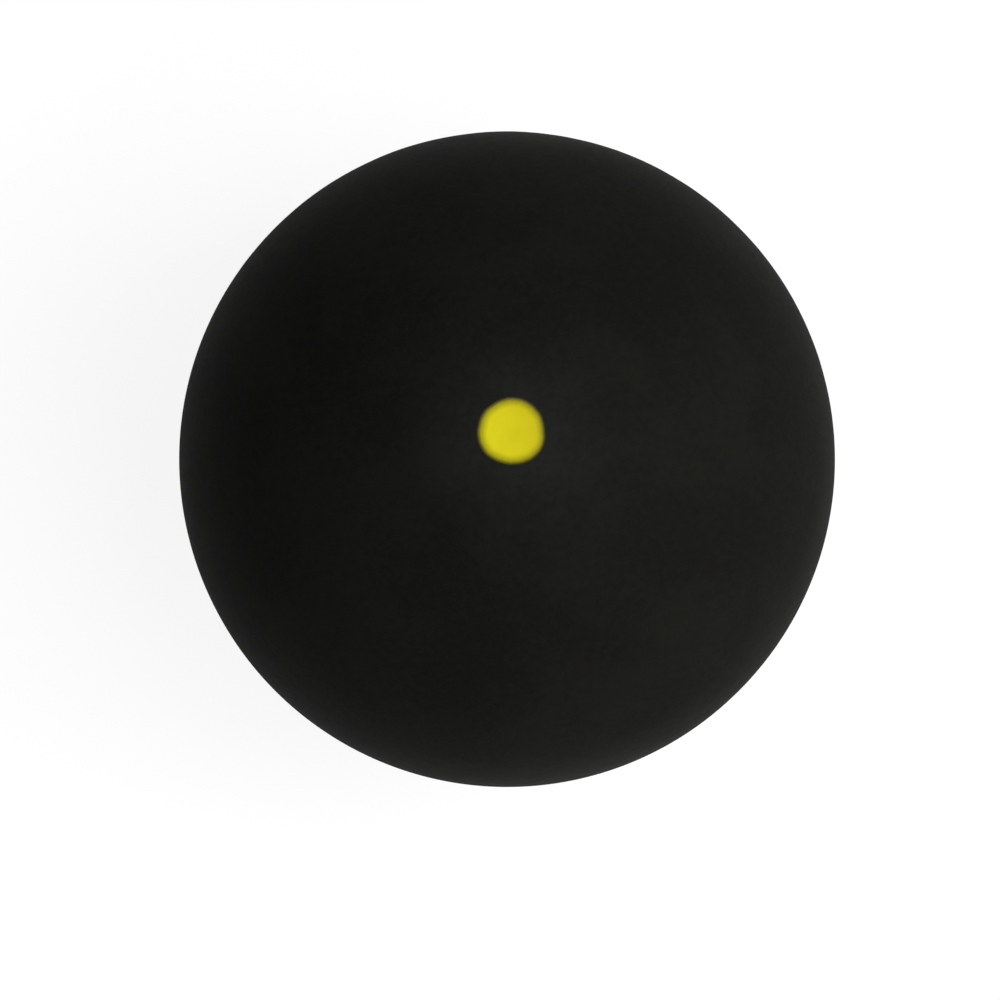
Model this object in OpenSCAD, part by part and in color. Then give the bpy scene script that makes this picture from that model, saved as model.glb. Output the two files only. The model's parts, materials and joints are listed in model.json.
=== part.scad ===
// A hollow squash ball: two rubber half shells, joined at the equator by a ring of
// rubber cement, with a yellow speed dot printed on the upper pole.
// The origin is the centre of the ball. +Z runs out through the dot, and the seam
// lies in the XY plane. Every piece is turned about Z from its own profile.

/* [Ball] */
// Outside diameter of the buffed rubber
ball_d = 38; // [36:0.5:46]
// Thickness of the rubber wall
wall_t = 5; // [3:0.25:8]

/* [Seam] */
// Thickness of the cement film between the ground lips of the two half shells
cement_t = 0.2; // [0.1:0.05:0.5]
// Bevel on the outer corner of each lip, filled with cement and buffed flush
outer_bevel = 0.15; // [0.05:0.05:0.5]
// Bevel on the inner corner of each lip, filled with squeezed-out cement
inner_bevel = 0.3; // [0.1:0.05:0.8]
// Radius of the bead of cement that stands along the seam inside the hollow
bead_r = 0.5; // [0.3:0.05:1]

/* [Dot] */
// Diameter of the printed dot
dot_d = 3.5; // [2:0.25:8]
// Thickness of the ink film
ink_t = 0.04; // [0.02:0.01:0.1]

/* [Hidden] */
$fn = 180;

rubber_black = [0.115, 0.115, 0.105];
cement_black = [0.095, 0.092, 0.085];
ink_yellow = [0.83, 0.79, 0.13];

ball_r = ball_d / 2;
hollow_r = ball_r - wall_t;
// Height of each lip above the seam's middle plane
lip_z = cement_t / 2;
// Radii of a lip's outer and inner corners, before they are bevelled
lip_outer_r = sqrt(ball_r^2 - lip_z^2);
lip_inner_r = sqrt(hollow_r^2 - lip_z^2);
// How far a cutting outline runs past what it cuts
overrun = 1;

// The side of the drawing plane that a profile is turned from
module turning_side() {
    translate([0, -ball_r - overrun])
        square([ball_r + overrun, 2 * (ball_r + overrun)]);
}

// Section of the whole wall, as if the ball had no seam
module wall_section() {
    intersection() {
        difference() {
            circle(r = ball_r);
            circle(r = hollow_r);
        }
        turning_side();
    }
}

// Outline of the space between the two lips, which opens at the bevels and runs past
// both faces of the wall
module lip_gap() {
    in_run = inner_bevel + overrun;
    out_run = outer_bevel + overrun;
    polygon([
        [lip_inner_r - overrun, -lip_z - in_run],
        [lip_inner_r + inner_bevel, -lip_z],
        [lip_outer_r - outer_bevel, -lip_z],
        [lip_outer_r + overrun, -lip_z - out_run],
        [lip_outer_r + overrun, lip_z + out_run],
        [lip_outer_r - outer_bevel, lip_z],
        [lip_inner_r + inner_bevel, lip_z],
        [lip_inner_r - overrun, lip_z + in_run]
    ]);
}

// Section of one half shell, with its lip ground flat and its corners bevelled
module half_section() {
    difference() {
        wall_section();
        lip_gap();
        translate([-overrun, -ball_r - overrun])
            square([ball_r + 2 * overrun, ball_r + overrun]);
    }
}

// The cement that fills the gap, and the bead that stands inside the hollow
module cement_section() {
    intersection() {
        wall_section();
        lip_gap();
    }
    intersection() {
        translate([hollow_r, 0])
            circle(r = bead_r);
        circle(r = hollow_r);
    }
}

// A cap of ink as thick as ink_t, lying on the rubber all over
module dot_section() {
    intersection() {
        difference() {
            circle(r = ball_r + ink_t);
            circle(r = ball_r);
        }
        square([dot_d / 2, ball_r + ink_t]);
    }
}

module upper_half_shell() {
    color(rubber_black)
        rotate_extrude()
            half_section();
}

module lower_half_shell() {
    color(rubber_black)
        mirror([0, 0, 1])
            rotate_extrude()
                half_section();
}

module seam_cement() {
    color(cement_black)
        rotate_extrude()
            cement_section();
}

module yellow_dot() {
    color(ink_yellow)
        rotate_extrude()
            dot_section();
}

upper_half_shell();
lower_half_shell();
seam_cement();
yellow_dot();
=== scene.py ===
"""Looks of a squash ball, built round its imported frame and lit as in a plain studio.

The ball is two buffed rubber half shells, the ring of cement between them and a printed
speed dot. Lengths are in metres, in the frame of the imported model: the origin is the
centre of the ball, +Z runs out through the dot, and the seam lies in the XY plane.
"""

import json
import logging
import math
from collections.abc import Callable
from dataclasses import dataclass
from enum import Enum

import bpy
from mathutils import Matrix, Vector


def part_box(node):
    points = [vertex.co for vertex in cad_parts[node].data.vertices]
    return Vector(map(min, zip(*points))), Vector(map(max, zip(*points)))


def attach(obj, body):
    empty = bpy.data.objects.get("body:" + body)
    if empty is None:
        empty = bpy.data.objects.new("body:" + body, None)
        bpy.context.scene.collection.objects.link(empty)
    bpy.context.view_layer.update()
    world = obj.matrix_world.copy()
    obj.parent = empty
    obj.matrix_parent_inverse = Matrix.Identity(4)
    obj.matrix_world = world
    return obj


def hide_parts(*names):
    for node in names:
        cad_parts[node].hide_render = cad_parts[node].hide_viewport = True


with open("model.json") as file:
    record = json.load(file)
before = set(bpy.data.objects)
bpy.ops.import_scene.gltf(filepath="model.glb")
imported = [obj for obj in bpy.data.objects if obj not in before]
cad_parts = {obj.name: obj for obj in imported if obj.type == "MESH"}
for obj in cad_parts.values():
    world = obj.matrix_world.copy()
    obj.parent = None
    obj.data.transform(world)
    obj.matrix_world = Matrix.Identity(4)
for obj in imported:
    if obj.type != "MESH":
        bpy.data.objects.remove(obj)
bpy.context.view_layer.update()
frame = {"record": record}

MM = 0.001
ROOT_BODY = "root"
PAST_INK = "past_ink"
MERGE_GAP = 0.0005 * MM  # Vertices nearer than this are one.
SHARP_DEG = 32  # Edges that turn by more than this stay sharp.
WHITE = (1.0, 1.0, 1.0)
log = logging.getLogger("squash_ball")

Model = bpy.types.Object
Socket = bpy.types.NodeSocket
Sockets = bpy.types.bpy_prop_collection
Feed = Socket | float | tuple[float, ...]
Colour = tuple[float, float, float]
Point = tuple[float, float]


class Half(Enum):
    """Which half of the ball a shell is."""

    UPPER = "upper"
    LOWER = "lower"


class Pick(Enum):
    """What edit mode selects."""

    VERTICES = "VERT"
    EDGES = "EDGE"


def ease(share: float) -> float:
    """Goes smoothly from 0 to 1 as the share does, and stays level beyond them."""
    held = min(max(share, 0.0), 1.0)
    return held * held * (3 - 2 * held)


@dataclass(frozen=True)
class BallSizes:
    """Sizes that the pieces share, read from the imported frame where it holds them."""

    outer_r: float
    lip_z: float
    bead_r: float
    dot_r: float
    ink_t: float
    wall_t: float = 5 * MM
    outer_bevel: float = 0.15 * MM
    inner_bevel: float = 0.3 * MM
    buffed_off: float = 0.03 * MM

    @classmethod
    def from_frame(cls, record: dict) -> "BallSizes":
        """Reads the sizes.

        Args:
            record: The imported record, whose seat mount gives the ball's radius.

        Returns:
            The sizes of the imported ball.
        """
        seat = next(mount for mount in record["mounts"] if mount["name"] == "cup_seat")
        outer_r = seat["dims"]["r_mm"] * MM
        dot_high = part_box("yellow_dot")[1]
        return cls(
            outer_r=outer_r,
            lip_z=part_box("upper_half_shell")[0].z,
            bead_r=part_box("seam_cement")[1].z,
            dot_r=dot_high.x,
            ink_t=dot_high.z - outer_r,
        )

    @property
    def hollow_r(self) -> float:
        """Radius of the hollow inside the ball."""
        return self.outer_r - self.wall_t

    @property
    def lip_outer_r(self) -> float:
        """Radius where a lip's flat ends at its outer bevel."""
        return self.on_sphere(self.outer_r, self.lip_z) - self.outer_bevel

    @property
    def lip_inner_r(self) -> float:
        """Radius where a lip's flat ends at its inner bevel."""
        return self.on_sphere(self.hollow_r, self.lip_z) + self.inner_bevel

    @property
    def outer_corner(self) -> Point:
        """Radius and height of the outer bevel's outer edge, before it is buffed."""
        run = self.lip_outer_r - self.lip_z
        height = (math.sqrt(2 * self.outer_r**2 - run**2) - run) / 2
        return height + run, height

    @property
    def inner_corner(self) -> Point:
        """Radius and height of the inner bevel's inner edge."""
        run = self.lip_inner_r + self.lip_z
        radius = (math.sqrt(2 * self.hollow_r**2 - run**2) + run) / 2
        return radius, run - radius

    @staticmethod
    def on_sphere(sphere_r: float, height: float) -> float:
        """Radius of a sphere's round at a height above its middle."""
        return math.sqrt(sphere_r**2 - height**2)


@dataclass(frozen=True)
class PrintEdge:
    """The outline of the printed dot, which wanders a little about a true circle."""

    radius: float
    half_cover_in: float = 0.073 * MM
    # Each ripple of the outline: its number of lobes, its size and its phase in radians.
    wander: tuple[tuple[int, float, float], ...] = (
        (2, 0.013 * MM, 2.1), (3, 0.032 * MM, -2.5), (4, 0.011 * MM, -2.0),
        (6, 0.010 * MM, -1.5), (7, 0.004 * MM, -2.3), (9, 0.005 * MM, -2.2),
        (17, 0.004 * MM, 5.1), (31, 0.003 * MM, 0.4),
    )

    def wander_at(self, place: Vector) -> float:
        """Works out how far the outline lies outside a true circle, towards a point."""
        angle = math.atan2(place.y, place.x)
        return sum(size * math.sin(lobes * angle + phase) for lobes, size, phase in self.wander)

    def past(self, place: Vector) -> float:
        """Works out how far a point lies outside the outline, below 0 on the dot."""
        past_circle = place.xy.length - self.radius
        return past_circle if past_circle > self.radius else past_circle - self.wander_at(place)

    def mark(self, piece: Model) -> None:
        """Keeps each vertex's distance past the line where ink covers half the rubber.

        Args:
            piece: The piece, with its modifiers applied.
        """
        distances = piece.data.attributes.new(PAST_INK, "FLOAT", "POINT")
        for vertex, distance in zip(piece.data.vertices, distances.data):
            distance.value = self.past(vertex.co) + self.half_cover_in


class Bench:
    """The workbench: short calls for steps that every piece goes through."""

    @staticmethod
    def clear() -> None:
        """Deselects everything, so that operators touch only new work."""
        for other in bpy.context.selected_objects:
            other.select_set(False)

    @staticmethod
    def take(piece: Model) -> None:
        """Makes a piece the only one selected, and the active one.

        Args:
            piece: The piece to take.
        """
        Bench.clear()
        piece.select_set(True)
        bpy.context.view_layer.objects.active = piece

    @staticmethod
    def edit(piece: Model, pick: Pick = Pick.EDGES, whole: bool = False) -> None:
        """Opens a piece in edit mode.

        Args:
            piece: The piece to open.
            pick: What is selected while it is open.
            whole: Whether all of it is selected, and not what its mesh holds selected.
        """
        Bench.take(piece)
        bpy.ops.object.mode_set(mode="EDIT")
        bpy.ops.mesh.select_mode(type=pick.value)
        if whole:
            bpy.ops.mesh.select_all(action="SELECT")

    @staticmethod
    def done() -> None:
        """Closes edit mode."""
        bpy.ops.object.mode_set(mode="OBJECT")

    @staticmethod
    def apply(piece: Model) -> None:
        """Applies a piece's modifiers from first to last.

        Args:
            piece: The piece whose modifiers are applied.
        """
        Bench.take(piece)
        for name in [modifier.name for modifier in piece.modifiers]:
            bpy.ops.object.modifier_apply(modifier=name)

    @staticmethod
    def close(piece: Model) -> None:
        """Merges doubled vertices and turns the faces outwards.

        Args:
            piece: The piece to close.
        """
        Bench.edit(piece, Pick.VERTICES, whole=True)
        bpy.ops.mesh.remove_doubles(threshold=MERGE_GAP)
        bpy.ops.mesh.normals_make_consistent(inside=False)
        Bench.done()

    @staticmethod
    def smooth(piece: Model, sharp_deg: float = SHARP_DEG) -> None:
        """Smooths what is round, and keeps edges sharp that turn by more than an angle."""
        Bench.take(piece)
        bpy.ops.object.shade_smooth_by_angle(angle=math.radians(sharp_deg))

    @staticmethod
    def extrude_rim(start: Point, end: Point) -> None:
        """Extrudes the selected rim to a rim of another radius at another height.

        Args:
            start: Radius and height of the selected rim.
            end: Radius and height of the new rim.
        """
        move = {"value": (0, 0, end[1] - start[1])}
        bpy.ops.mesh.extrude_region_move(TRANSFORM_OT_translate=move)
        scale = end[0] / start[0]
        bpy.ops.transform.resize(value=(scale, scale, 1), center_override=(0, 0, end[1]))

    @staticmethod
    def weigh(piece: Model, name: str, weight_of: Callable[[Vector], float]) -> None:
        """Makes a vertex group from a rule.

        Args:
            piece: The piece that gets the group.
            name: The group's name.
            weight_of: Gives a vertex's weight, from 0 to 1, for its place.
        """
        group = piece.vertex_groups.new(name=name)
        for vertex in piece.data.vertices:
            weight = weight_of(vertex.co)
            if weight > 0:
                group.add([vertex.index], weight, "REPLACE")


@dataclass(frozen=True)
class Relief:
    """Soft unevenness of a surface, which lies below its smooth form."""

    name: str
    size: float
    depth: float
    layers: int = 1
    crest: float = 0.9

    def add_to(self, piece: Model, group: str) -> None:
        """Adds the relief to a piece as a modifier.

        Args:
            piece: The piece that gets the relief.
            group: The vertex group that it acts on.
        """
        clouds = bpy.data.textures.new(self.name, "CLOUDS")
        clouds.noise_scale = self.size
        clouds.noise_depth = self.layers
        push = piece.modifiers.new(self.name, "DISPLACE")
        push.texture = clouds
        push.texture_coords = "LOCAL"
        push.strength = self.depth
        push.mid_level = self.crest
        push.vertex_group = group


RUBBER_RELIEF = (
    Relief("moulded_waves", size=3.2 * MM, depth=0.026 * MM),
    Relief("buffed_peel", size=0.9 * MM, depth=0.010 * MM),
)


class NodeBoard:
    """A node tree, with short calls that add its nodes and join them."""

    def __init__(self, tree: bpy.types.NodeTree) -> None:
        """Keeps the tree that the calls work on."""
        self.tree = tree

    @classmethod
    def of(cls, owner: bpy.types.Material | bpy.types.World) -> "NodeBoard":
        """Empties a material's or a world's node tree and opens it.

        Args:
            owner: The material or the world.

        Returns:
            The board for its empty tree.
        """
        owner.use_nodes = True
        owner.node_tree.nodes.clear()
        return cls(owner.node_tree)

    def add(self, kind: str, *values: Feed, **settings: object) -> bpy.types.Node:
        """Adds a node.

        Args:
            kind: The node's type, without the ShaderNode in front.
            *values: What goes into its first inputs, in order.
            **settings: Properties of the node, by name.

        Returns:
            The new node.
        """
        node = self.tree.nodes.new("ShaderNode" + kind)
        for name, value in settings.items():
            setattr(node, name, value)
        for target, value in zip(node.inputs, values):
            self.feed(target, value)
        return node

    def feed(self, target: Socket, value: Feed) -> None:
        """Gives a socket a value, or joins another socket to it.

        Args:
            target: The input socket.
            value: A number, a vector, a colour or an output socket.
        """
        if isinstance(value, bpy.types.NodeSocket):
            self.tree.links.new(value, target)
        elif target.type == "RGBA":
            target.default_value = (*value[:3], 1)
        else:
            target.default_value = value

    def math(self, operation: str, *values: Feed, clamp: bool = False) -> Socket:
        """Adds a Math node, fed in order, and gives its result, held to 0 to 1 if asked."""
        return self.add("Math", *values, operation=operation, use_clamp=clamp).outputs[0]

    def times(self, value: Feed, factor: Feed) -> Socket:
        """Adds a Math node that multiplies."""
        return self.math("MULTIPLY", value, factor)

    def span(self, value: Feed, start: Feed, end: Feed,
             first: Feed = 0.0, last: Feed = 1.0) -> Socket:
        """Adds a Map Range node that goes smoothly from one result to another.

        Args:
            value: What is mapped.
            start: The value up to which the result is first.
            end: The value from which the result is last.
            first: The result at the start.
            last: The result at the end.

        Returns:
            The result's socket.
        """
        node = self.add("MapRange", value, start, end, first, last,
                        interpolation_type="SMOOTHSTEP")
        return node.outputs[0]

    def blend(self, share: Feed, first: Feed, second: Feed) -> Socket:
        """Adds a Mix node for two colours.

        Args:
            share: How much of the second colour shows.
            first: The first colour.
            second: The second colour.

        Returns:
            The mixed colour's socket.
        """
        node = self.add("Mix", data_type="RGBA")
        pair = [socket for socket in node.inputs if socket.type == "RGBA"]
        self.feed(node.inputs[0], share)
        self.feed(pair[0], first)
        self.feed(pair[1], second)
        return next(socket for socket in node.outputs if socket.type == "RGBA")

    def noise(self, place: Socket, scale: Feed, detail: float = 2.0) -> Socket:
        """Adds a Noise Texture node.

        Args:
            place: The coordinates that it reads.
            scale: How many features there are to a unit of the coordinates.
            detail: How many finer layers it has.

        Returns:
            The noise's socket, about 0 to 1.
        """
        node = self.add("TexNoise")
        self.feed(node.inputs["Vector"], place)
        self.feed(node.inputs["Scale"], scale)
        self.feed(node.inputs["Detail"], detail)
        return node.outputs[0]

    def axes(self, place: Socket) -> Sockets:
        """Splits coordinates into their X, Y and Z sockets."""
        return self.add("SeparateXYZ", place).outputs

    def centred(self, value: Socket) -> Socket:
        """Shifts a value that runs from 0 to 1, so that its middle is 0."""
        return self.math("SUBTRACT", value, 0.5)

    def per_metre(self, size: Feed) -> Socket:
        """Turns a size into how many of it there are to the metre."""
        return self.math("DIVIDE", 1.0, size)

    def past_ink(self) -> Socket:
        """Reads how far a point lies past the ink's edge, as PrintEdge marks it."""
        return self.add("Attribute", attribute_name=PAST_INK).outputs["Fac"]

    def is_outside(self, place: Socket, inside_r: float) -> Socket:
        """Gives 1 outside a radius that lies within the ball's wall, and 0 in the hollow."""
        reach = self.add("VectorMath", place, operation="LENGTH")
        return self.math("GREATER_THAN", reach.outputs["Value"], inside_r)


class SurfaceEffect:
    """A shader node group that several of the ball's materials share."""

    NAME = ""
    INPUTS: dict[str, str] = {}
    OUTPUTS: dict[str, str] = {}

    def __init__(self) -> None:
        """Finds the group, or builds it the first time."""
        self.group = bpy.data.node_groups.get(self.NAME) or self._build()

    def _build(self) -> bpy.types.NodeTree:
        """Makes the group with its sockets and its nodes.

        Returns:
            The new node group.
        """
        group = bpy.data.node_groups.new(self.NAME, "ShaderNodeTree")
        for in_out, sockets in (("INPUT", self.INPUTS), ("OUTPUT", self.OUTPUTS)):
            for name, kind in sockets.items():
                group.interface.new_socket(name, in_out=in_out, socket_type="NodeSocket" + kind)
        board = NodeBoard(group)
        start = group.nodes.new("NodeGroupInput")
        end = group.nodes.new("NodeGroupOutput")
        for name, socket in self.draw(board, start.outputs).items():
            board.feed(end.inputs[name], socket)
        return group

    def draw(self, board: NodeBoard, given: Sockets) -> dict[str, Socket]:
        """Adds the effect's own nodes.

        Args:
            board: The group's node board.
            given: The group's inputs, by name.

        Returns:
            What the group puts out, by name.
        """
        raise NotImplementedError

    def place(self, board: NodeBoard, **values: Feed) -> Sockets:
        """Puts the effect in a material.

        Args:
            board: The material's node board.
            **values: The group's inputs, by name.

        Returns:
            The group's outputs.
        """
        node = board.add("Group", node_tree=self.group)
        for name, value in values.items():
            board.feed(node.inputs[name], value)
        return node.outputs


class FineGrain(SurfaceEffect):
    """The fine pebbling that tumbling with grit leaves, with small pits in it."""

    NAME = "fine_grain"
    INPUTS = {"Place": "Vector", "Grain": "Float", "Pits": "Float"}
    OUTPUTS = {"Height": "Float"}
    COARSE_SCALE = 0.4
    COARSE_DETAIL = 1.0
    COARSE_SHARE = 0.45
    CELL_SCALE = 0.3
    PIT_REACH = 0.3
    PIT_DEPTH = 0.6
    LOW = 0.35
    HIGH = 0.65

    def draw(self, board: NodeBoard, given: Sockets) -> dict[str, Socket]:
        """Adds layered noise for the grain, and sparse round cells for the pits.

        Args:
            board: The group's node board.
            given: Place, the grain's size and the share of cells that hold a pit.

        Returns:
            Height, which lies mostly between LOW and HIGH.
        """
        place = given["Place"]
        per_metre = board.per_metre(given["Grain"])
        coarse_scale = board.times(per_metre, self.COARSE_SCALE)
        coarse = board.noise(place, coarse_scale, self.COARSE_DETAIL)
        fine = board.noise(place, per_metre)
        grain = board.math("ADD", board.times(coarse, self.COARSE_SHARE),
                           board.times(fine, 1 - self.COARSE_SHARE))
        cells = board.add("TexVoronoi", feature="F1")
        board.feed(cells.inputs["Vector"], place)
        board.feed(cells.inputs["Scale"], board.times(per_metre, self.CELL_SCALE))
        hole = board.span(cells.outputs["Distance"], 0.0, self.PIT_REACH, 1.0, 0.0)
        chance = board.axes(cells.outputs["Color"])[0]
        pit = board.times(hole, board.math("LESS_THAN", chance, given["Pits"]))
        sunk = board.times(pit, self.PIT_DEPTH)
        return {"Height": board.math("SUBTRACT", grain, sunk)}


class BuffMarks(SurfaceEffect):
    """Short hair-fine marks in three directions, where the buff has brushed the rubber."""

    NAME = "buff_marks"
    INPUTS = {"Place": "Vector", "Length": "Float", "Width": "Float", "Amount": "Float"}
    OUTPUTS = {"Mask": "Float"}
    TURNS_DEG = ((12, 31, 7), (64, -22, 51), (-35, 77, 118))
    UNMARKED_LEAST = 0.78
    AMOUNT_DROP = 0.2
    CREST_FADE = 0.08

    def draw(self, board: NodeBoard, given: Sockets) -> dict[str, Socket]:
        """Adds one stretched noise for each direction and keeps only its crests.

        Args:
            board: The group's node board.
            given: Place, a mark's length and width, and how much is marked.

        Returns:
            Mask, which is 1 in a mark.
        """
        along = board.per_metre(given["Length"])
        across = board.per_metre(given["Width"])
        drop = board.times(given["Amount"], self.AMOUNT_DROP)
        least = board.math("SUBTRACT", self.UNMARKED_LEAST, drop)
        most = board.math("ADD", least, self.CREST_FADE)
        stretch = board.add("CombineXYZ", along, across, across)
        total: Feed = 0.0
        for turn in self.TURNS_DEG:
            turned = board.add("Mapping", given["Place"])
            turned.inputs["Rotation"].default_value = [math.radians(angle) for angle in turn]
            drawn = board.add("VectorMath", turned.outputs[0], stretch.outputs[0],
                              operation="MULTIPLY")
            crest = board.span(board.noise(drawn.outputs[0], 1.0, 0.0), least, most)
            total = board.math("MAXIMUM", total, crest)
        return {"Mask": total}


class ToneDrift(SurfaceEffect):
    """Slow change of tone over a surface, with a finer speckle on top."""

    NAME = "tone_drift"
    INPUTS = {"Place": "Vector", "Size": "Float", "Dark": "Color", "Light": "Color",
              "Speckle": "Float"}
    OUTPUTS = {"Color": "Color", "Tone": "Float"}
    SPECKLE_SCALE = 14.0
    SPECKLE_DETAIL = 3.0
    DARKEST = 0.3
    LIGHTEST = 0.7

    def draw(self, board: NodeBoard, given: Sockets) -> dict[str, Socket]:
        """Adds the slow and the fine noise, and mixes the two colours by their sum.

        Args:
            board: The group's node board.
            given: Place, the size of the changes, the two colours and the speckle's strength.

        Returns:
            Color, and Tone, which is 0 where it is dark and 1 where it is light.
        """
        per_metre = board.per_metre(given["Size"])
        slow = board.span(board.noise(given["Place"], per_metre), self.DARKEST, self.LIGHTEST)
        fine_scale = board.times(per_metre, self.SPECKLE_SCALE)
        fine = board.centred(board.noise(given["Place"], fine_scale, self.SPECKLE_DETAIL))
        speckle = board.times(fine, given["Speckle"])
        tone = board.math("ADD", slow, speckle, clamp=True)
        return {"Color": board.blend(tone, given["Dark"], given["Light"]), "Tone": tone}


class InkCover(SurfaceEffect):
    """How far ink covers the rubber, which falls off raggedly across the printed edge."""

    NAME = "ink_cover"
    INPUTS = {"Place": "Vector", "Past": "Float", "Reach": "Float", "Rag": "Float"}
    OUTPUTS = {"Mask": "Float"}
    GRAIN = 0.06 * MM

    def draw(self, board: NodeBoard, given: Sockets) -> dict[str, Socket]:
        """Adds fine noise to the distance from the edge, and a smooth fall on both sides.

        Args:
            board: The group's node board.
            given: Place, the distance past the edge, how far the fall reaches on each
                side, and how far the noise moves it.

        Returns:
            Mask, which is 1 under full ink and a half at the edge.
        """
        speckle = board.centred(board.noise(given["Place"], 1 / self.GRAIN))
        ragged = board.math("ADD", given["Past"], board.times(speckle, given["Rag"]))
        start = board.times(given["Reach"], -1.0)
        return {"Mask": board.span(ragged, start, given["Reach"], 1.0, 0.0)}


@dataclass(frozen=True)
class Finish:
    """A finish of the ball: what is the same all over it, and how its shader is fed."""

    name: str
    specular: float
    bump_depth: float
    sheen: float = 0.0
    sheen_roughness: float = 0.4
    coat: float = 0.0
    coat_roughness: float = 0.6

    def material(self) -> bpy.types.Material:
        """Finds the finish's material, or builds it the first time."""
        return bpy.data.materials.get(self.name) or self._build()

    def _build(self) -> bpy.types.Material:
        """Makes the material.

        Returns:
            The finished material.
        """
        material = bpy.data.materials.new(self.name)
        board = NodeBoard.of(material)
        shader = board.add("BsdfPrincipled")
        even = {
            "Specular IOR Level": self.specular,
            "Sheen Weight": self.sheen,
            "Sheen Roughness": self.sheen_roughness,
            "Coat Weight": self.coat,
            "Coat Roughness": self.coat_roughness,
        }
        for name, value in even.items():
            shader.inputs[name].default_value = value
        board.add("OutputMaterial", shader.outputs[0])
        height = self.paint(board, shader, board.add("TexCoord").outputs["Object"])
        bump = board.add("Bump")
        bump.inputs["Distance"].default_value = self.bump_depth
        board.feed(bump.inputs["Height"], height)
        board.feed(shader.inputs["Normal"], bump.outputs[0])
        return material

    def paint(self, board: NodeBoard, shader: bpy.types.Node, place: Socket) -> Socket:
        """Feeds the shader's colour and roughness.

        Args:
            board: The material's node board.
            shader: The material's shader.
            place: The object coordinates.

        Returns:
            The height of the fine relief, in bump depths.
        """
        raise NotImplementedError


@dataclass(frozen=True)
class BuffedRubber(Finish):
    """Black rubber, buffed matt outside, as moulded inside, with a painted highlight round the
    ink.
    """

    inside_r: float = 16.5 * MM
    dark: Colour = (0.0071, 0.0071, 0.0066)
    light: Colour = (0.0098, 0.0099, 0.0084)
    # The painted highlight round the dot: its colour, how far past the ink it reaches, and its
    # least and most strength.
    painted_highlight: Colour = (0.0152, 0.0152, 0.0136)
    highlight_reach: float = 5 * MM
    highlight_least: float = 0.55
    highlight_most: float = 0.95
    brushed: Colour = (0.0135, 0.0135, 0.0108)
    brushing: float = 0.5
    stained: Colour = (0.665, 0.590, 0.0090)
    stain_reach: float = 0.27 * MM
    ragged: float = 0.1 * MM
    drift_size: float = 6 * MM
    speckle: float = 2.2
    grain: float = 0.15 * MM
    pits: float = 0.12
    mark_length: float = 1.4 * MM
    mark_width: float = 0.05 * MM
    marked: float = 0.5
    mark_depth: float = 0.3
    moulded_relief: float = 0.25
    smoothest: float = 0.75
    roughest: float = 0.87
    moulded_roughness: float = 0.5

    def paint(self, board: NodeBoard, shader: bpy.types.Node, place: Socket) -> Socket:
        """Feeds the shader's colour and roughness.

        Args:
            board: The material's node board.
            shader: The material's shader.
            place: The object coordinates.

        Returns:
            The height of the fine relief, in bump depths.
        """
        outside = board.is_outside(place, self.inside_r)
        grain = FineGrain().place(board, Place=place, Grain=self.grain, Pits=self.pits)
        marks = BuffMarks().place(board, Place=place, Length=self.mark_length,
                                  Width=self.mark_width, Amount=self.marked)
        marked = board.times(marks["Mask"], outside)
        drift = ToneDrift().place(board, Place=place, Size=self.drift_size, Dark=self.dark,
                                  Light=self.light, Speckle=self.speckle)
        past = board.past_ink()
        dot_side = board.math("GREATER_THAN", board.axes(place)["Z"], 0.0)
        dot_side = board.times(dot_side, outside)
        # Painted highlight: on the dot's side of the ball the rubber is painted lighter near the
        # ink. It fades out away from the ink and is stronger where the random tone is light.
        near_dot = board.span(past, 0.0, self.highlight_reach, dot_side, 0.0)
        patchy = board.span(drift["Tone"], 0.0, 1.0, self.highlight_least, self.highlight_most)
        highlight_share = board.times(near_dot, patchy)
        rubber = board.blend(highlight_share, drift["Color"], self.painted_highlight)
        brushed = board.times(marked, self.brushing)
        rubber = board.blend(brushed, rubber, self.brushed)
        cover = InkCover().place(board, Place=place, Past=past, Reach=self.stain_reach,
                                 Rag=self.ragged)
        stain = board.times(cover["Mask"], dot_side)
        board.feed(shader.inputs["Base Color"], board.blend(stain, rubber, self.stained))
        buffed = board.span(grain["Height"], FineGrain.LOW, FineGrain.HIGH, self.smoothest,
                            self.roughest)
        rough = board.span(outside, 0.0, 1.0, self.moulded_roughness, buffed)
        board.feed(shader.inputs["Roughness"], rough)
        score = board.times(marked, self.mark_depth)
        scored = board.math("SUBTRACT", grain["Height"], score)
        depth = board.span(outside, 0.0, 1.0, self.moulded_relief, 1.0)
        return board.times(scored, depth)


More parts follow.
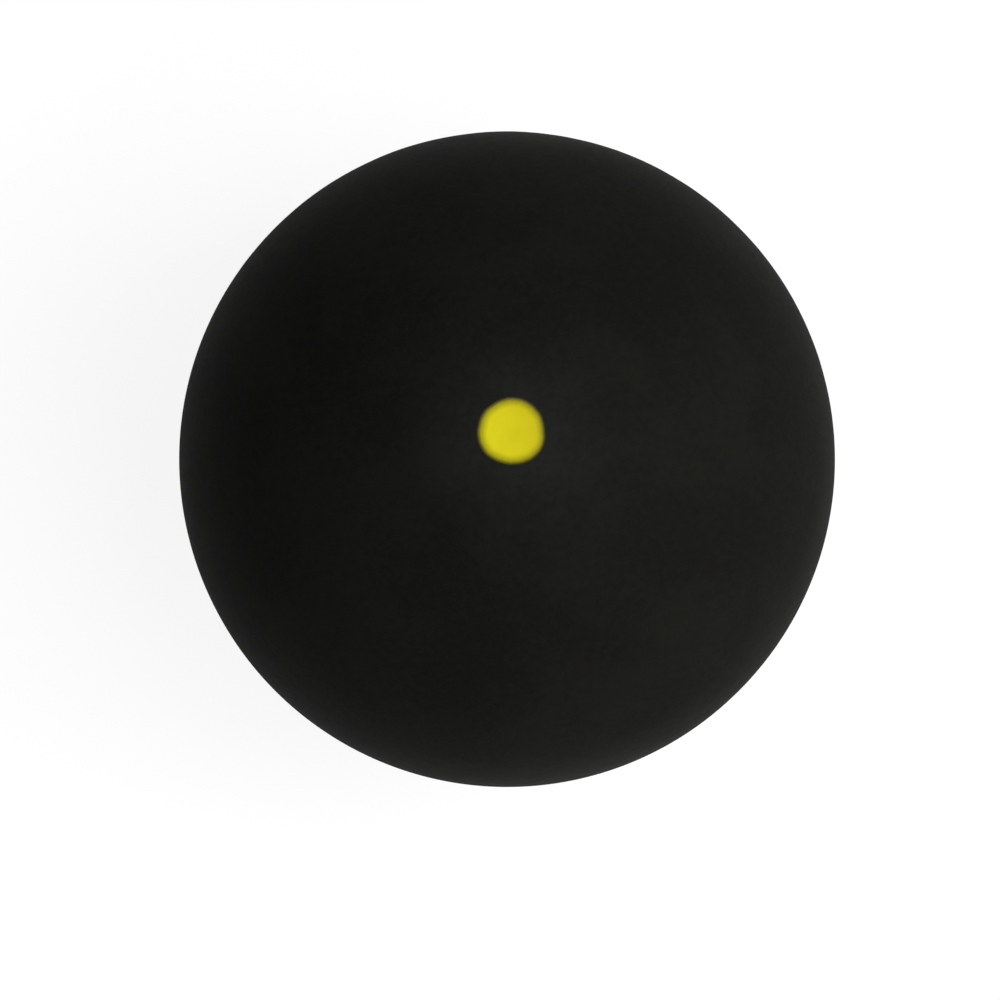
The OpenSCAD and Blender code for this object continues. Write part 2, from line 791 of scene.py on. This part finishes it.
@dataclass(frozen=True)
class CuredCement(Finish):
    """Rubber solution that has cured in the seam, with rubber smeared over its edges."""

    inside_r: float = BuffedRubber.inside_r
    dark: Colour = BuffedRubber.dark
    light: Colour = BuffedRubber.light
    drift_size: float = BuffedRubber.drift_size
    speckle: float = BuffedRubber.speckle
    cured: Colour = (0.0028, 0.0028, 0.0027)
    line_half: float = 0.10 * MM
    line_fade: float = 0.10 * MM
    line_wander: float = 0.22 * MM
    wander_size: float = 1.1 * MM
    wander_detail: float = 3.0
    grain: float = 0.12 * MM
    pits: float = 0.25
    smoothest: float = 0.78
    roughest: float = 0.84

    def paint(self, board: NodeBoard, shader: bpy.types.Node, place: Socket) -> Socket:
        """Feeds the shader's colour and roughness.

        Args:
            board: The material's node board.
            shader: The material's shader.
            place: The object coordinates.

        Returns:
            The height of the fine relief, in bump depths.
        """
        grain = FineGrain().place(board, Place=place, Grain=self.grain, Pits=self.pits)
        smear = ToneDrift().place(board, Place=place, Size=self.drift_size, Dark=self.dark,
                                  Light=self.light, Speckle=self.speckle)
        shift = board.centred(board.noise(place, 1 / self.wander_size, self.wander_detail))
        height = board.math("ADD", board.axes(place)["Z"], board.times(shift, self.line_wander))
        smeared = board.span(board.math("ABSOLUTE", height), self.line_half,
                             self.line_half + self.line_fade)
        smeared = board.times(smeared, board.is_outside(place, self.inside_r))
        board.feed(shader.inputs["Base Color"],
                   board.blend(smeared, self.cured, smear["Color"]))
        board.feed(shader.inputs["Roughness"],
                   board.span(smeared, 0.0, 1.0, self.smoothest, self.roughest))
        return grain["Height"]


@dataclass(frozen=True)
class PrintedInk(Finish):
    """Yellow ink, lighter towards -X and thinning towards its edge."""

    dot_r: float = 1.75 * MM
    full: Colour = (0.762, 0.689, 0.0134)
    lean: Colour = (0.614, 0.535, 0.0066)
    bare: Colour = (0.0090, 0.0090, 0.0075)
    thin_reach: float = 0.42 * MM
    ragged: float = 0.1 * MM
    # How far the yellow moves towards its lighter colour over one dot radius towards -X.
    x_gradient: float = 0.8
    mid_yellow_tone: float = 0.5
    drift_size: float = 1.1 * MM
    mottling: float = 0.25
    speckle: float = 0.3
    grain: float = 0.09 * MM
    pits: float = 0.05
    smoothest: float = 0.5
    roughest: float = 0.62

    def paint(self, board: NodeBoard, shader: bpy.types.Node, place: Socket) -> Socket:
        """Feeds the shader's colour and roughness.

        Args:
            board: The material's node board.
            shader: The material's shader.
            place: The object coordinates.

        Returns:
            The height of the fine relief, in bump depths.
        """
        grain = FineGrain().place(board, Place=place, Grain=self.grain, Pits=self.pits)
        drift = ToneDrift().place(board, Place=place, Size=self.drift_size,
                                  Speckle=self.speckle)
        # The yellow grows lighter towards -X across the dot, with a random mottle on top.
        across = board.times(board.axes(place)["X"], -self.x_gradient / self.dot_r)
        mottle = board.times(board.centred(drift["Tone"]), self.mottling)
        laid = board.math("ADD", across, mottle)
        yellow_tone = board.math("ADD", laid, self.mid_yellow_tone, clamp=True)
        body = board.blend(yellow_tone, self.lean, self.full)
        past = board.past_ink()
        cover = InkCover().place(board, Place=place, Past=past, Reach=self.thin_reach,
                                 Rag=self.ragged)
        board.feed(shader.inputs["Base Color"], board.blend(cover["Mask"], self.bare, body))
        board.feed(shader.inputs["Roughness"],
                   board.span(grain["Height"], FineGrain.LOW, FineGrain.HIGH, self.smoothest,
                              self.roughest))
        return grain["Height"]


@dataclass
class Piece:
    """One visible piece of the ball, which stands for one node of the frame."""

    sizes: BallSizes
    finish: Finish
    name: str
    node: str
    slot: str

    def model(self) -> Model:
        """Models the piece.

        Returns:
            The piece's object, undressed.
        """
        raise NotImplementedError

    def make(self) -> Model:
        """Models the piece, dresses it and gives it to the frame.

        Returns:
            The finished piece.
        """
        piece = self.model()
        piece.name = piece.data.name = self.name
        piece.data.materials.clear()
        piece.data.materials.append(self.finish.material())
        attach(piece, ROOT_BODY)
        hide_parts(self.node)
        return piece


@dataclass
class HalfShell(Piece):
    """A moulded half of the ball: its buffed dome, its ground lip and its hollow."""

    half: Half
    dome_cuts: int = 8
    hollow_cuts: int = 6
    shoulder: float = 0.45 * MM
    edge_rings: int = 4
    wear_power: int = 3
    fade: float = 0.6 * MM

    def model(self) -> Model:
        """Joins the dome and the hollow at the lip, and gives the dome its relief.

        Returns:
            The half shell.
        """
        shell = self._dome()
        hollow = self._hollow()
        Bench.take(shell)
        hollow.select_set(True)
        bpy.ops.object.join()
        Bench.edit(shell)
        bpy.ops.mesh.bridge_edge_loops()
        Bench.done()
        if self.half is Half.LOWER:
            Bench.edit(shell, Pick.VERTICES, whole=True)
            bpy.ops.transform.mirror(constraint_axis=(False, False, True),
                                     center_override=(0, 0, 0))
            Bench.done()
        Bench.close(shell)
        Bench.smooth(shell)
        self._uneven(shell)
        return shell

    def _cap(self, radius: float, cuts: int, rim_z: float, faces_in: bool = False) -> Model:
        """Cuts a cap from an even sphere and leaves it in edit mode, rim selected.

        Args:
            radius: The sphere's radius.
            cuts: How finely the sphere is divided.
            rim_z: The height of the cap's rim.
            faces_in: Whether its faces are turned into the sphere.

        Returns:
            The cap.
        """
        Bench.clear()
        bpy.ops.mesh.primitive_ico_sphere_add(subdivisions=cuts, radius=radius)
        cap = bpy.context.object
        Bench.edit(cap, whole=True)
        if faces_in:
            bpy.ops.mesh.flip_normals()
        bpy.ops.mesh.bisect(plane_co=(0, 0, rim_z), plane_no=(0, 0, 1), clear_inner=True,
                            threshold=MERGE_GAP)
        return cap

    def _dome(self) -> Model:
        """Models the outside down to the lip, rounding the edge that the buff wore.

        Returns:
            The dome.
        """
        sizes = self.sizes
        bevel_z = sizes.outer_corner[1]
        rim_z = bevel_z + self.shoulder
        rim = (sizes.on_sphere(sizes.outer_r, rim_z), rim_z)
        dome = self._cap(sizes.outer_r, self.dome_cuts, rim_z)
        for ring in range(1, self.edge_rings + 1):
            share = ring / self.edge_rings
            lower_z = bevel_z + self.shoulder * (1 - share)
            worn = sizes.buffed_off * share**self.wear_power
            lower_r = sizes.on_sphere(sizes.outer_r, lower_z) - worn
            Bench.extrude_rim(rim, (lower_r, lower_z))
            rim = (lower_r, lower_z)
        Bench.extrude_rim(rim, (sizes.lip_outer_r, sizes.lip_z))
        Bench.done()
        return dome

    def _hollow(self) -> Model:
        """Models the inside down to the lip, with its faces turned into the hollow.

        Returns:
            The hollow's skin.
        """
        sizes = self.sizes
        corner = sizes.inner_corner
        hollow = self._cap(sizes.hollow_r, self.hollow_cuts, corner[1], faces_in=True)
        Bench.extrude_rim(corner, (sizes.lip_inner_r, sizes.lip_z))
        Bench.done()
        return hollow

    def _uneven(self, shell: Model) -> None:
        """Gives the dome its relief, which fades out towards the seam.

        Args:
            shell: The shell that gets the relief.
        """
        start_z = self.sizes.outer_corner[1] + self.shoulder
        inside_r = self.sizes.outer_r - self.sizes.wall_t / 2

        def on_dome(place: Vector) -> float:
            """Weighs a vertex: 0 inside and at the edge, 1 over the rest of the dome."""
            return ease((abs(place.z) - start_z) / self.fade) if place.length > inside_r else 0.0

        Bench.weigh(shell, "dome", on_dome)
        for relief in RUBBER_RELIEF:
            relief.add_to(shell, "dome")
        Bench.apply(shell)
        PrintEdge(self.sizes.dot_r).mark(shell)


@dataclass
class CementRing(Piece):
    """The cement between the lips, with its sunken line outside and its bead inside."""

    steps: int = 720
    line_points: int = 7
    bead_points: int = 9
    sink: float = 0.022 * MM
    dip: float = 0.012 * MM
    lumps: Relief = Relief("cement_lumps", size=0.7 * MM, depth=0.014 * MM, layers=2)

    def model(self) -> Model:
        """Spins the ring's section round the ball's axis.

        Returns:
            The ring.
        """
        section = self._section()
        Bench.clear()
        bpy.ops.mesh.primitive_circle_add(vertices=len(section), radius=self.sizes.outer_r)
        ring = bpy.context.object
        for vertex, (radius, height) in zip(ring.data.vertices, section):
            vertex.co = (radius, 0, height)
        Bench.edit(ring, whole=True)
        bpy.ops.mesh.spin(steps=self.steps, angle=2 * math.pi, center=(0, 0, 0),
                          axis=(0, 0, 1))
        Bench.done()
        Bench.close(ring)
        Bench.smooth(ring)
        self._uneven(ring)
        return ring

    @property
    def line_edge(self) -> Point:
        """Radius and height of the sunken line's edge, on the buffed bevel."""
        corner_r, corner_z = self.sizes.outer_corner
        worn_r = corner_r - self.sizes.buffed_off
        edge_r = self.sizes.outer_r - self.sink
        lip_r, lip_z = self.sizes.lip_outer_r, self.sizes.lip_z
        return edge_r, lip_z + (corner_z - lip_z) * (edge_r - lip_r) / (worn_r - lip_r)

    def _section(self) -> list[Point]:
        """Works out the ring's section.

        Returns:
            The radius and height of each corner, all the way round.
        """
        sizes = self.sizes
        edge_r, edge_z = self.line_edge
        line = []
        for point in range(self.line_points):
            share = 2 * point / (self.line_points - 1) - 1
            line.append((edge_r - self.dip * (1 - share**2), edge_z * share))
        above = [(sizes.lip_outer_r, sizes.lip_z), (sizes.lip_inner_r, sizes.lip_z),
                 sizes.inner_corner]
        bead = []
        for point in range(self.bead_points):
            angle = math.pi / 2 + math.pi * (point + 0.5) / self.bead_points
            bead.append((sizes.hollow_r + sizes.bead_r * math.cos(angle),
                         sizes.bead_r * math.sin(angle)))
        below = [(radius, -height) for radius, height in reversed(above)]
        return line + above + bead + below

    def _uneven(self, ring: Model) -> None:
        """Makes the sunken line slightly uneven, but not at its edges.

        Args:
            ring: The ring that gets the relief.
        """
        edge_r, edge_z = self.line_edge
        deepest_r = edge_r - self.dip - MERGE_GAP

        def on_line(place: Vector) -> float:
            """Weighs a vertex: 1 in the middle of the line, 0 at its edges and inside."""
            middle = 1 - (place.z / edge_z) ** 2
            return max(middle, 0.0) if place.xy.length > deepest_r else 0.0

        Bench.weigh(ring, "line", on_line)
        self.lumps.add_to(ring, "line")
        Bench.apply(ring)


@dataclass
class InkDot(Piece):
    """The printed dot: a thin film on the rubber, with a soft and slightly uneven edge."""

    spokes: int = 192
    rings: int = 22
    set_in: float = 0.03 * MM
    edge_t: float = 0.004 * MM
    taper: float = 0.4 * MM
    edge_round: float = 0.03 * MM
    edge_segments: int = 3
    edge_deg: float = 50
    swell: Relief = Relief("ink_swell", size=0.35 * MM, depth=0.006 * MM)

    def model(self) -> Model:
        """Draws the dot flat, lays it on the ball and gives it its thickness.

        Returns:
            The dot.
        """
        height = self.sizes.outer_r
        flat_r = height * math.tan(math.asin(self.sizes.dot_r / height))
        edge = PrintEdge(self.sizes.dot_r)
        Bench.clear()
        bpy.ops.mesh.primitive_circle_add(vertices=self.spokes, radius=flat_r,
                                          location=(0, 0, height))
        bpy.ops.object.transform_apply(location=True)
        dot = bpy.context.object
        for vertex in dot.data.vertices:
            vertex.co.xy *= 1 + edge.wander_at(vertex.co) / flat_r
        Bench.edit(dot, whole=True)
        # Only the ratio of the two radii counts, so ring numbers stand for them.
        for ring in range(self.rings - 1, 0, -1):
            Bench.extrude_rim((ring + 1, height), (ring, height))
        bpy.ops.mesh.extrude_region_move(TRANSFORM_OT_translate={"value": (0, 0, 0)})
        bpy.ops.mesh.merge(type="CENTER")
        Bench.done()
        Bench.close(dot)
        self._lay_on_ball(dot)
        self._thicken(dot, edge)
        edge.mark(dot)
        return dot

    def _lay_on_ball(self, dot: Model) -> None:
        """Bends the flat dot onto the ball.

        Args:
            dot: The dot, drawn flat at the height of the pole.
        """
        cast = dot.modifiers.new("onto_ball", "CAST")
        cast.cast_type = "SPHERE"
        cast.factor = 1
        cast.use_radius_as_size = False
        cast.size = self.sizes.outer_r + self.sizes.ink_t
        Bench.apply(dot)

    def _thicken(self, dot: Model, edge: PrintEdge) -> None:
        """Gives the dot its relief, its thickness and its soft edge.

        Args:
            dot: The dot's upper face, on the ball.
            edge: The dot's outline.
        """

        def near_edge(place: Vector) -> float:
            """Weighs a vertex: 1 at the outline, 0 where the film is at its full thickness."""
            return ease(1 + edge.past(place) / self.taper)

        Bench.weigh(dot, "film", lambda place: 1.0)
        Bench.weigh(dot, "edge", near_edge)
        thin = dot.modifiers.new("thin_edge", "DISPLACE")
        thin.strength = self.edge_t - self.sizes.ink_t
        thin.mid_level = 0
        thin.vertex_group = "edge"
        for relief in (*RUBBER_RELIEF, self.swell):
            relief.add_to(dot, "film")
        film = dot.modifiers.new("film", "SOLIDIFY")
        film.thickness = self.sizes.ink_t + self.set_in
        film.offset = -1
        soft = dot.modifiers.new("soft_edge", "BEVEL")
        soft.width = self.edge_round
        soft.segments = self.edge_segments
        soft.limit_method = "ANGLE"
        soft.angle_limit = math.radians(self.edge_deg)
        Bench.apply(dot)
        Bench.smooth(dot, self.edge_deg)


@dataclass(frozen=True)
class Softbox:
    """A square lamp, aimed at the ball from a direction."""

    name: str
    azimuth_deg: float
    elevation_deg: float
    watts: float
    side: float = 0.45
    distance: float = 1.0

    def hang(self) -> None:
        """Hangs the lamp, out of the camera's sight."""
        azimuth, elevation = math.radians(self.azimuth_deg), math.radians(self.elevation_deg)
        out = Vector((math.cos(azimuth) * math.cos(elevation),
                      math.sin(azimuth) * math.cos(elevation), math.sin(elevation)))
        data = bpy.data.lights.new(self.name, "AREA")
        data.shape = "SQUARE"
        data.size = self.side
        data.energy = self.watts
        lamp = bpy.data.objects.new(self.name, data)
        lamp.location = out * self.distance
        lamp.rotation_mode = "QUATERNION"
        lamp.rotation_quaternion = out.to_track_quat("Z", "Y")
        lamp.visible_camera = False
        bpy.context.scene.collection.objects.link(lamp)


@dataclass(frozen=True)
class PhotoCamera:
    """The camera: above the ball, with a long lens, framed as the photograph is."""

    ball_r: float
    azimuth_deg: float = -8.95
    elevation_deg: float = 85.32
    distance_in_radii: float = 20.0
    frame_px: float = 1000.0
    outline_r_px: float = 328.0
    centre_px: Point = (507.10, 459.08)
    sensor: float = 36.0

    def build(self) -> None:
        """Makes the camera and makes it the scene's own."""
        azimuth, elevation = math.radians(self.azimuth_deg), math.radians(self.elevation_deg)
        back = Vector((math.sin(azimuth) * math.cos(elevation),
                       -math.cos(azimuth) * math.cos(elevation), math.sin(elevation)))
        right = Vector((0, 1, 0)).cross(back).normalized()
        turn = Matrix((right, back.cross(right), back)).transposed()
        outline_angle = math.asin(1 / self.distance_in_radii)
        focal_px = self.outline_r_px / math.tan(outline_angle)
        data = bpy.data.cameras.new("photo_camera")
        data.sensor_width = self.sensor
        data.lens = focal_px / self.frame_px * self.sensor
        data.shift_x = 0.5 - self.centre_px[0] / self.frame_px
        data.shift_y = self.centre_px[1] / self.frame_px - 0.5
        data.clip_start = self.ball_r
        camera = bpy.data.objects.new("photo_camera", data)
        place = Matrix.Translation(back * self.distance_in_radii * self.ball_r)
        camera.matrix_world = place @ turn.to_4x4()
        bpy.context.scene.collection.objects.link(camera)
        bpy.context.scene.camera = camera


@dataclass
class Studio:
    """The floor, the sky, the lamps and the camera."""

    sizes: BallSizes
    softboxes: tuple[Softbox, ...] = (
        Softbox("key_softbox", azimuth_deg=0, elevation_deg=48, watts=4.4),
        Softbox("top_softbox", azimuth_deg=0, elevation_deg=70, watts=4.15),
        Softbox("side_softbox", azimuth_deg=315, elevation_deg=48, watts=2.8),
    )
    floor_side: float = 8.0
    floor_white: float = 0.86
    floor_glow: float = 0.90
    shadow_share: float = 0.16
    ambient: float = 0.05
    horizon_power: float = 6.0

    def build(self) -> None:
        """Builds the whole studio and sets how colours are shown."""
        self._floor()
        self._sky()
        for softbox in self.softboxes:
            softbox.hang()
        PhotoCamera(self.sizes.outer_r).build()
        bpy.context.scene.view_settings.view_transform = "Standard"

    def _floor(self) -> None:
        """Lays a pale floor that looks white and still keeps the ball's shadow."""
        Bench.clear()
        bpy.ops.mesh.primitive_plane_add(size=self.floor_side,
                                         location=(0, 0, -self.sizes.outer_r))
        floor = bpy.context.object
        floor.name = "studio_floor"
        material = bpy.data.materials.new("studio_floor")
        board = NodeBoard.of(material)
        lit = board.add("BsdfDiffuse", (self.floor_white,) * 3)
        shadowed = board.add("BsdfDiffuse", (self.floor_white * self.shadow_share,) * 3)
        glow = board.add("Emission", WHITE, self.floor_glow)
        seen = board.add("AddShader", shadowed.outputs[0], glow.outputs[0])
        paths = board.add("LightPath").outputs
        mirrored = self._mirrored(board, paths)
        shown = board.math("MAXIMUM", paths["Is Camera Ray"], mirrored)
        choice = board.add("MixShader", shown, lit.outputs[0], seen.outputs[0])
        board.add("OutputMaterial", choice.outputs[0])
        floor.data.materials.append(material)

    def _sky(self) -> None:
        """Makes the surroundings: white where they are seen, and a dim even light."""
        world = bpy.data.worlds.new("studio_sky")
        board = NodeBoard.of(world)
        paths = board.add("LightPath").outputs
        height = board.axes(board.add("TexCoord").outputs["Generated"])["Z"]
        level = board.math("SUBTRACT", 1.0, board.math("ABSOLUTE", height))
        horizon = board.math("POWER", level, self.horizon_power)
        dim = board.blend(self._mirrored(board, paths), (self.ambient,) * 3, horizon)
        seen = board.blend(paths["Is Camera Ray"], dim, WHITE)
        board.add("OutputWorld", board.add("Background", seen).outputs[0])
        bpy.context.scene.world = world

    @staticmethod
    def _mirrored(board: NodeBoard, paths: Sockets) -> Socket:
        """Picks out the rays that show the studio in gloss or through glass."""
        return board.math("MAXIMUM", paths["Is Glossy Ray"], paths["Is Transmission Ray"])


def ball_pieces(sizes: BallSizes) -> list[Piece]:
    """Lists the ball's pieces in the order in which they are made.

    Args:
        sizes: The ball's sizes.

    Returns:
        The pieces, not yet built.
    """
    rubber = BuffedRubber("buffed_rubber", specular=0.015, bump_depth=0.004 * MM,
                          sheen=0.02, coat=0.03)
    cement = CuredCement("cured_cement", specular=0.02, bump_depth=0.004 * MM, sheen=0.02,
                         coat=0.03)
    ink = PrintedInk("yellow_ink", specular=0.06, bump_depth=0.0025 * MM, dot_r=sizes.dot_r)
    return [
        *(HalfShell(sizes, rubber, f"buffed_{half.value}_shell", f"{half.value}_half_shell",
                    "shell_rubber", half) for half in Half),
        CementRing(sizes, cement, "cement_ring", "seam_cement", "seam_cement"),
        InkDot(sizes, ink, "ink_dot", "yellow_dot", "dot_ink"),
    ]


def main() -> None:
    """Builds the studio and the ball, and reports each piece."""
    logging.basicConfig(level=logging.INFO, format="%(name)s: %(message)s")
    sizes = BallSizes.from_frame(frame["record"])
    Studio(sizes).build()
    for piece in ball_pieces(sizes):
        made = piece.make()
        log.info("%s: %d faces", made.name, len(made.data.polygons))


if __name__ == "__main__":
    main()
